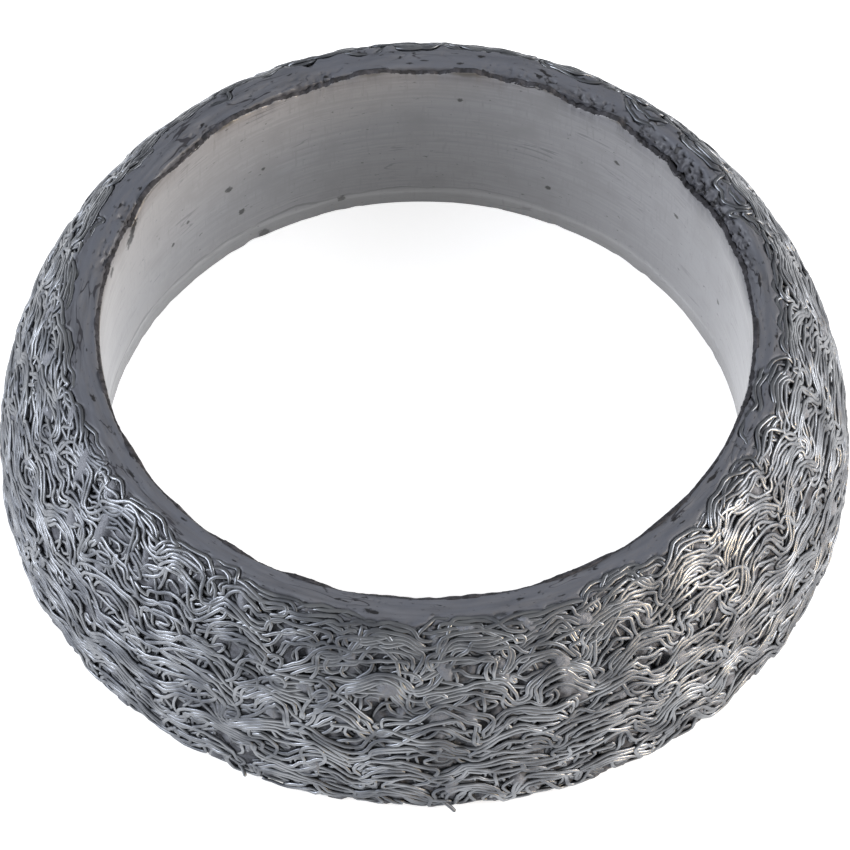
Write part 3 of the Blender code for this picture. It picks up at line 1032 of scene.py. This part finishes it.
torn_rim = ring_mesh("torn_rim", np.concatenate(rim_rows)[::-1], "graphite")

# %% [markdown]
# ## Helpers for the finishes
#
# A finish needs to know where on the ring it is. An angle would jump from 360 back to 0 degrees and
# leave a seam, so a point is placed by its direction from the bore's axis instead, which never
# jumps. Noise that is squeezed across the ring and not along it then gives the streaks that
# rolling and pressing leave.
#
# Each finish starts from the usual metallic and roughness values of its material. Its patterns then
# vary the roughness about that, as smears and wear do. Relief that is too fine for the mesh is a
# bump, whose distance is the relief's height in metres.

# %% Colours and nodes


def linear(hex_colour):
    """A linear RGBA colour from an sRGB hex value."""
    channels = [int(hex_colour[i : i + 2], 16) / 255 for i in (1, 3, 5)]
    return (*[c / 12.92 if c <= 0.04045 else ((c + 0.055) / 1.055) ** 2.4 for c in channels], 1.0)


def node(tree, kind, settings=None, **links):
    """Adds a node; settings set its properties, and links set or connect its inputs by name or number."""
    made = tree.nodes.new("ShaderNode" + kind)
    for name, value in (settings or {}).items():
        setattr(made, name, value)
    for name, value in links.items():
        socket = made.inputs[int(name[1:]) if name[1:].isdigit() else name.replace("_", " ")]
        if isinstance(value, bpy.types.NodeSocket):
            tree.links.new(value, socket)
        else:
            socket.default_value = value
    return made


def new_material(name, **settings):
    """A Principled material with these settings on its shader; gives it and its node tree."""
    material = bpy.data.materials.new(name)
    material.use_nodes = True
    shader = material.node_tree.nodes["Principled BSDF"]
    for setting, value in settings.items():
        shader.inputs[setting.replace("_", " ")].default_value = value
    return material, material.node_tree


def finish_off(material, pieces, **links):
    """Links the last colour, roughness and relief to the shader, and gives the pieces the material."""
    tree = material.node_tree
    shader = tree.nodes["Principled BSDF"]
    for name, value in links.items():
        tree.links.new(value, shader.inputs[name.replace("_", " ")])
    for piece in pieces:
        piece.data.materials.append(material)
    print(f"{material.name}: {len(tree.nodes)} nodes, on {len(pieces)} pieces")


print("middle grey, #808080, in linear light:", round(linear("#808080")[0], 3))

# %% Places on the ring


def ring_place(tree):
    """Direction from the axis, radius, height and position of the shaded point, in millimetres."""
    position = node(tree, "TexCoord").outputs["Object"]
    position = node(tree, "VectorMath", {"operation": "SCALE"}, _0=position, Scale=1 / MM).outputs[0]
    flat = node(tree, "VectorMath", {"operation": "MULTIPLY"}, _0=position, _1=(1, 1, 0)).outputs[0]
    direction = node(tree, "VectorMath", {"operation": "NORMALIZE"}, _0=flat).outputs[0]
    radius = node(tree, "VectorMath", {"operation": "LENGTH"}, _0=flat).outputs["Value"]
    height = node(tree, "SeparateXYZ", _0=position).outputs["Z"]
    return direction, radius, height, position


def die_depth(tree, place):
    """How far below the die's surface the shaded point lies, in millimetres."""
    _, radius, height, _ = place
    across = node(tree, "Math", {"operation": "SUBTRACT"}, _0=radius, _1=ARC_CENTRE / MM).outputs[0]
    rise = node(tree, "Math", {"operation": "SUBTRACT"}, _0=height, _1=WIDEST_HEIGHT / MM).outputs[0]
    pair = node(tree, "CombineXYZ", X=across, Y=rise).outputs[0]
    reach = node(tree, "VectorMath", {"operation": "LENGTH"}, _0=pair).outputs["Value"]
    under_side = node(tree, "Math", {"operation": "SUBTRACT"}, _0=CROWN_RADIUS / MM, _1=reach).outputs[0]
    under_face = node(tree, "Math", {"operation": "SUBTRACT"}, _0=HEIGHT / MM, _1=height).outputs[0]
    return node(tree, "Math", {"operation": "MINIMUM"}, _0=under_side, _1=under_face).outputs[0]


# %% Patterns and colours


def grain_noise(tree, place, along, across, detail=3.0, shift=0.0):
    """Noise whose blobs are this long along the ring and this wide across it, in millimetres."""
    direction, radius, height, _ = place
    laps = WIDEST_RADIUS / MM / along
    turned_to = node(tree, "VectorMath", {"operation": "SCALE"}, _0=direction, Scale=laps).outputs[0]
    walk = node(tree, "Math", {"operation": "SUBTRACT"}, _0=radius, _1=height).outputs[0]
    walk = node(tree, "Math", {"operation": "MULTIPLY_ADD"}, _0=walk, _1=1 / across, _2=shift).outputs[0]
    lifted = node(tree, "CombineXYZ", Z=walk).outputs[0]
    spot = node(tree, "VectorMath", _0=turned_to, _1=lifted).outputs[0]
    return node(tree, "TexNoise", _0=spot, Scale=1.0, Detail=detail).outputs["Fac"]


def vein(tree, value, middle, other, amount):
    """Nearly 0 on the lines where the value passes the middle; the other value lifts and so ends them."""
    away = node(tree, "Math", {"operation": "SUBTRACT"}, _0=value, _1=middle).outputs[0]
    away = node(tree, "Math", {"operation": "ABSOLUTE"}, _0=away).outputs[0]
    return node(tree, "Math", {"operation": "MULTIPLY_ADD"}, _0=other, _1=amount, _2=away).outputs[0]


def blend(tree, value, low, high, first, second):
    """A colour that turns from first to second as the value goes from low to high."""
    share = node(tree, "MapRange", Value=value, From_Min=low, From_Max=high).outputs["Result"]
    return node(tree, "Mix", {"data_type": "RGBA"}, _0=share, _6=first, _7=second).outputs[2]


# %% [markdown]
# ## Steel wire
#
# The wires are bright drawn steel, but graphite has been pressed between them and smeared over
# them. So they are greyer in smeared patches. Their colour is lightest on the flattened backs and
# darkens with depth below the die, dark where they dive into the pockets: partly the cleaner,
# burnished backs and partly painted shade of the pockets. Bare spots shine, and smeared ones are
# duller. Drawing leaves fine lines on wire. The real ones are far too fine to show, so the bump is
# as coarse as it needs to be. Clean steel would be fully metallic; the film of graphite takes it to 0.9.

# %% Drawn steel wire
steel, tree = new_material("drawn_steel_wire", Metallic=0.9, Roughness=0.34)
place = ring_place(tree)
depth = die_depth(tree, place)
smears = grain_noise(tree, place, 3.2, 2.0, detail=4.0)
drawn_lines = grain_noise(tree, place, 0.5, 0.12, detail=2.0, shift=40.0)
colour = blend(tree, smears, 0.40, 0.62, linear("#909397"), linear("#676a6f"))
# Lighter on the backs and darker with depth: partly burnished backs, partly painted shade of the pockets.
colour = blend(tree, depth, 0.17, 0.50, colour, linear("#515356"))
roughness = node(tree, "MapRange", Value=smears, From_Min=0.38, From_Max=0.62, To_Min=0.31, To_Max=0.52)
bump = node(tree, "Bump", Height=drawn_lines, Distance=0.006 * MM)
finish_off(steel, wires, Base_Color=colour, Roughness=roughness.outputs[0], Normal=bump.outputs[0])

# %% [markdown]
# ## Pressed graphite
#
# Pressed graphite is slate grey and slightly glossy, with flaky streaks along the ring a few
# millimetres long. It is not a metal, so its gloss comes from the surface alone. Cracks are dark
# veins, and where the inner edge of the small face has sunk and crumbled it is pitted with dark
# crumbs. Its colour also darkens the further a point lies below the face, which is painted shade of
# the sunk places. The same finish serves the large face, where the depth is measured from the floor.

# %% Pressed graphite
graphite, tree = new_material("pressed_graphite", Metallic=0.0, Roughness=0.5)
place = ring_place(tree)
flakes = grain_noise(tree, place, 5.0, 0.45, detail=5.0)
patches = grain_noise(tree, place, 9.0, 3.0, detail=2.0, shift=15.0)
pits = grain_noise(tree, place, 0.9, 0.28, detail=3.0, shift=70.0)
wrinkles = grain_noise(tree, place, 7.0, 1.0, detail=2.0, shift=120.0)
crumble = grain_noise(tree, place, 1.5, 0.5, detail=4.0, shift=33.0)
_, _, height, _ = place
sunk = node(tree, "Math", {"operation": "SUBTRACT"}, _0=HEIGHT / MM, _1=height).outputs[0]
sunk = node(tree, "Math", {"operation": "MINIMUM"}, _0=sunk, _1=height).outputs[0]
pitting = node(tree, "Math", {"operation": "MULTIPLY_ADD"}, _0=sunk, _1=0.13, _2=crumble).outputs[0]
colour = blend(tree, flakes, 0.32, 0.66, linear("#57595f"), linear("#6f7177"))
colour = blend(tree, patches, 0.40, 0.68, colour, linear("#63666e"))
colour = blend(tree, pits, 0.66, 0.74, colour, linear("#3c3d41"))
colour = blend(tree, vein(tree, wrinkles, 0.5, patches, 0.16), 0.082, 0.072, colour, linear("#36363c"))
# Darker the further below the face: painted shade of the sunk places.
colour = blend(tree, sunk, 0.12, 0.45, colour, linear("#4d4e54"))
colour = blend(tree, pitting, 0.63, 0.69, colour, linear("#202023"))
roughness = node(tree, "MapRange", Value=flakes, From_Min=0.35, From_Max=0.65, To_Min=0.55, To_Max=0.40)
bump = node(tree, "Bump", Height=flakes, Distance=0.05 * MM)
finish_off(
    graphite,
    [small_face, large_face],
    Base_Color=colour,
    Roughness=roughness.outputs[0],
    Normal=bump.outputs[0],
)

# %% [markdown]
# ## Loose and crumbled graphite
#
# In the pockets between the wires the graphite is loose, rough and dull. Its own colour is a middle
# grey, and the shadows of the wires make it look nearly black. In the burnished patches the die has
# polished it: there it is as light and smooth as the wires' backs. At the torn edge it is broken to
# crumbs under a millimetre across. They are coloured the darkest of all, partly as crumbs and partly
# as painted shade of the crevice between the skin and the face.

# %% Loose graphite in the pockets
dust, tree = new_material("loose_graphite", Metallic=0.0, Roughness=0.8)
place = ring_place(tree)
depth = die_depth(tree, place)
crumble = grain_noise(tree, place, 0.6, 0.6, detail=4.0)
colour = blend(tree, crumble, 0.35, 0.65, linear("#4a4b50"), linear("#6a6c72"))
colour = blend(tree, depth, 0.30, 0.12, colour, linear("#7a7d84"))
roughness = node(tree, "MapRange", Value=depth, From_Min=0.12, From_Max=0.30, To_Min=0.42, To_Max=0.85)
bump = node(tree, "Bump", Height=crumble, Distance=0.25 * MM)
finish_off(
    dust,
    [graphite_core],
    Base_Color=colour,
    Roughness=roughness.outputs[0],
    Normal=bump.outputs[0],
)

# %% Crumbled graphite and painted shade at the torn edge
crumbs_and_painted_shade, tree = new_material("crumbs_and_painted_shade", Metallic=0.0, Roughness=0.75)
place = ring_place(tree)
crumble = grain_noise(tree, place, 0.7, 0.35, detail=4.0, shift=11.0)
# Near-black: partly the crumbs' own tone, partly painted shade of the crevice.
colour = blend(tree, crumble, 0.38, 0.66, linear("#222225"), linear("#48474c"))
bump = node(tree, "Bump", Height=crumble, Distance=0.15 * MM)
finish_off(crumbs_and_painted_shade, [torn_rim], Base_Color=colour, Normal=bump.outputs[0])

# %% [markdown]
# ## The skin's finish
#
# The skin is pale and satin under a thin polish that the mandrel has left. It shows a faint print
# of the cloth that was pressed against it, streaks and thin scratches along the ring, short dark
# flecks where graphite has come through, and a dark, thin scar just above its lower edge. Towards
# the torn upper edge it is smudged. The cloth's threads are taken as 0.3 mm apart, which is about
# the thickness of a wire.
#
# The larger dark marks are placed where the photo has them. Each is a distance to a point,
# made ragged by noise, and the nearest mark wins. A mark has no polish, so it stays dark.

# %% The skin's colour
skin, tree = new_material("rolled_bore_skin", Metallic=0.0, Roughness=0.4, Coat_Roughness=0.16)
place = ring_place(tree)
direction, _, height, position = place
toward_x = node(tree, "SeparateXYZ", _0=direction).outputs["X"]
streaks = grain_noise(tree, place, 30.0, 0.35, detail=3.0, shift=25.0)
smudges = grain_noise(tree, place, 5.0, 3.5, detail=4.0, shift=90.0)
flecks = grain_noise(tree, place, 0.9, 0.35, detail=2.0, shift=55.0)
threads_up = grain_noise(tree, place, 0.32, 1.6, detail=1.0, shift=7.0)
threads_along = grain_noise(tree, place, 2.2, 0.28, detail=1.0, shift=47.0)
scratches = grain_noise(tree, place, 18.0, 1.1, detail=1.0, shift=160.0)
cloth = node(tree, "Math", {"operation": "MAXIMUM"}, _0=threads_up, _1=threads_along).outputs[0]
smudged = node(tree, "Math", {"operation": "MULTIPLY_ADD"}, _0=smudges, _1=1.6, _2=height).outputs[0]
TOP = HEIGHT / MM
colour = blend(tree, streaks, 0.35, 0.65, linear("#828285"), linear("#8e8e91"))
colour = blend(tree, smudges, 0.50, 0.75, colour, linear("#7b7b7d"))
colour = blend(tree, cloth, 0.56, 0.80, colour, linear("#7e7e80"))
colour = blend(tree, flecks, 0.70, 0.76, colour, linear("#4e4e52"))
colour = blend(tree, smudged, TOP + 0.35, TOP + 0.8, colour, linear("#605d58"))
colour = blend(tree, vein(tree, smudged, 2.85, toward_x, 0.2), 0.11, 0.0, colour, linear("#68686b"))
colour = blend(tree, vein(tree, scratches, 0.5, smudges, 0.12), 0.056, 0.046, colour, linear("#6c6c70"))

# %% The skin's marks and polish
MARKS = (
    # turn in degrees, height and radius in millimetres
    (129.2, 8.8, 0.40),
    (126.4, 4.9, 0.36),
    (139.3, 8.5, 0.26),
    (121.6, 9.1, 0.22),
    (106.3, 1.6, 0.40),
    (121.7, 0.5, 0.60),
    (143.5, 7.3, 0.22),
    (157.6, 15.1, 0.80),
    (156.6, 15.7, 0.70),
    (155.8, 16.3, 0.60),
    (166.5, 16.0, 0.50),
    (23.9, 7.4, 0.30),
    (38.8, 11.3, 0.28),
    (53.7, 12.2, 0.30),
    (67.6, 4.7, 0.28),
    (84.7, 13.9, 0.28),
)
# A start value that every mark is nearer than.
FAR_AWAY = 100.0
ragged = grain_noise(tree, place, 0.5, 0.35, detail=3.0, shift=140.0)
mark = FAR_AWAY
for turn, mark_height, size in MARKS:
    middle = Matrix.Rotation(math.radians(turn), 3, "Z") @ Vector((BORE_RADIUS / MM, 0, mark_height))
    reach = node(tree, "VectorMath", {"operation": "DISTANCE"}, _0=position, _1=middle).outputs["Value"]
    reach = node(tree, "Math", {"operation": "MULTIPLY_ADD"}, _0=reach, _1=0.5 / size, _2=ragged).outputs[0]
    mark = node(tree, "Math", {"operation": "MINIMUM"}, _0=mark, _1=reach).outputs[0]
colour = blend(tree, mark, 1.0, 0.80, colour, linear("#171719"))
polish = node(tree, "MapRange", Value=mark, From_Min=0.80, From_Max=1.0, To_Min=0.0, To_Max=0.45)
roughness = node(tree, "MapRange", Value=streaks, From_Min=0.35, From_Max=0.65, To_Min=0.28, To_Max=0.42)
bump = node(tree, "Bump", Height=cloth, Distance=0.004 * MM)
finish_off(
    skin,
    [bore_skin],
    Base_Color=colour,
    Roughness=roughness.outputs[0],
    Coat_Weight=polish.outputs[0],
    Normal=bump.outputs[0],
)

# %% [markdown]
# ## Floor
#
# The photo's ground is plain white. The floor is a plain pale plane just under the ring. Light Path
# lets it glow for the camera and in reflections only, so that it reads as white without adding
# light to the ring, and the ring's soft shadow stays on it.

# %% Floor
FLOOR_GLOW = 0.70
floor_mesh = bpy.data.meshes.new("floor")
floor_mesh.from_pydata([(-2, -2, 0), (2, -2, 0), (2, 2, 0), (-2, 2, 0)], [], [(0, 1, 2, 3)])
floor = bpy.data.objects.new("floor", floor_mesh)
bpy.context.collection.objects.link(floor)
floor.location.z = -0.02 * MM
sweep, tree = new_material(
    "white_sweep",
    Metallic=0.0,
    Roughness=0.6,
    Base_Color=linear("#f6f6f6"),
    Emission_Color=(1, 1, 1, 1),
)
rays = node(tree, "LightPath").outputs
seen = rays["Is Camera Ray"]
for kind in ("Is Glossy Ray", "Is Transmission Ray"):
    seen = node(tree, "Math", {"operation": "MAXIMUM"}, _0=seen, _1=rays[kind]).outputs[0]
glow = node(tree, "Math", {"operation": "MULTIPLY"}, _0=seen, _1=FLOOR_GLOW).outputs[0]
finish_off(sweep, [floor], Emission_Strength=glow)
print(f"the floor lies {-floor.location.z / MM:.2f} mm under the ring")

# %% [markdown]
# ## Light
#
# The highlights in the photo show two large soft windows, one cooler on the left and one on the
# right, and a small warm lamp low on the right that makes the wires there sparkle. A dim white
# world fills the shadows, so the pockets stay grey and not black.

# %% World and lamps
WORLD_STRENGTH = 0.35
world = bpy.data.worlds.new("studio")
bpy.context.scene.world = world
world.use_nodes = True
world.node_tree.nodes["Background"].inputs["Color"].default_value = (1, 1, 1, 1)
world.node_tree.nodes["Background"].inputs["Strength"].default_value = WORLD_STRENGTH


def soft_lamp(name, azimuth, elevation, distance, size, power, colour):
    """A square area lamp that faces the ring; azimuth 0 is the camera's side, 90 the right."""
    lamp = bpy.data.lights.new(name, "AREA")
    lamp.size = size
    lamp.energy = power
    lamp.color = linear(colour)[:3]
    holder = bpy.data.objects.new(name, lamp)
    bpy.context.collection.objects.link(holder)
    turn = math.radians(azimuth)
    rise = math.radians(elevation)
    toward = Vector((math.sin(turn) * math.cos(rise), -math.cos(turn) * math.cos(rise), math.sin(rise)))
    holder.location = Vector((0, 0, HEIGHT / 2)) + distance * toward
    holder.rotation_euler = toward.to_track_quat("Z", "Y").to_euler()
    print(f"{name}: {power} W")


soft_lamp("left_window", -82, 27, 0.7, 0.4, 3.9, "#f0f4ff")
soft_lamp("right_window", 88, 25, 0.7, 0.4, 3.7, "#fbfbff")
soft_lamp("warm_spark", 70, 8, 0.7, 0.14, 1.7, "#ffdca8")

# %% [markdown]
# ## Camera
#
# The camera was fitted to the ring's outlines in the photo: it looks down steeply from just over
# half a metre through a long lens, is tilted by one degree, and aims a little past the ring's
# middle. Its axes are written out, because a camera looks along its own -Z with +Y up.

# %% Camera
VIEW_ELEVATION = math.radians(54.31)
CAMERA_DISTANCE = 0.5602
CAMERA_TILT = math.radians(0.98)
LENS = 294.2
AIM_RIGHT = 0.034 * MM
AIM_DOWN = 2.77 * MM
back = Vector((0, -math.cos(VIEW_ELEVATION), math.sin(VIEW_ELEVATION)))
up = Vector((0, math.sin(VIEW_ELEVATION), math.cos(VIEW_ELEVATION)))
right = Vector((1, 0, 0))
camera_data = bpy.data.cameras.new("camera")
camera_data.sensor_width = 36
camera_data.lens = LENS
camera = bpy.data.objects.new("camera", camera_data)
bpy.context.collection.objects.link(camera)
eye = Vector((0, 0, HEIGHT / 2)) + CAMERA_DISTANCE * back + AIM_RIGHT * right - AIM_DOWN * up
axes = Matrix((right, up, back)).transposed() @ Matrix.Rotation(CAMERA_TILT, 3, "Z")
camera.matrix_world = Matrix.Translation(eye) @ axes.to_4x4()
bpy.context.scene.camera = camera
bpy.context.scene.view_settings.view_transform = "Standard"
print(f"lens {LENS} mm, {CAMERA_DISTANCE} m from the ring")
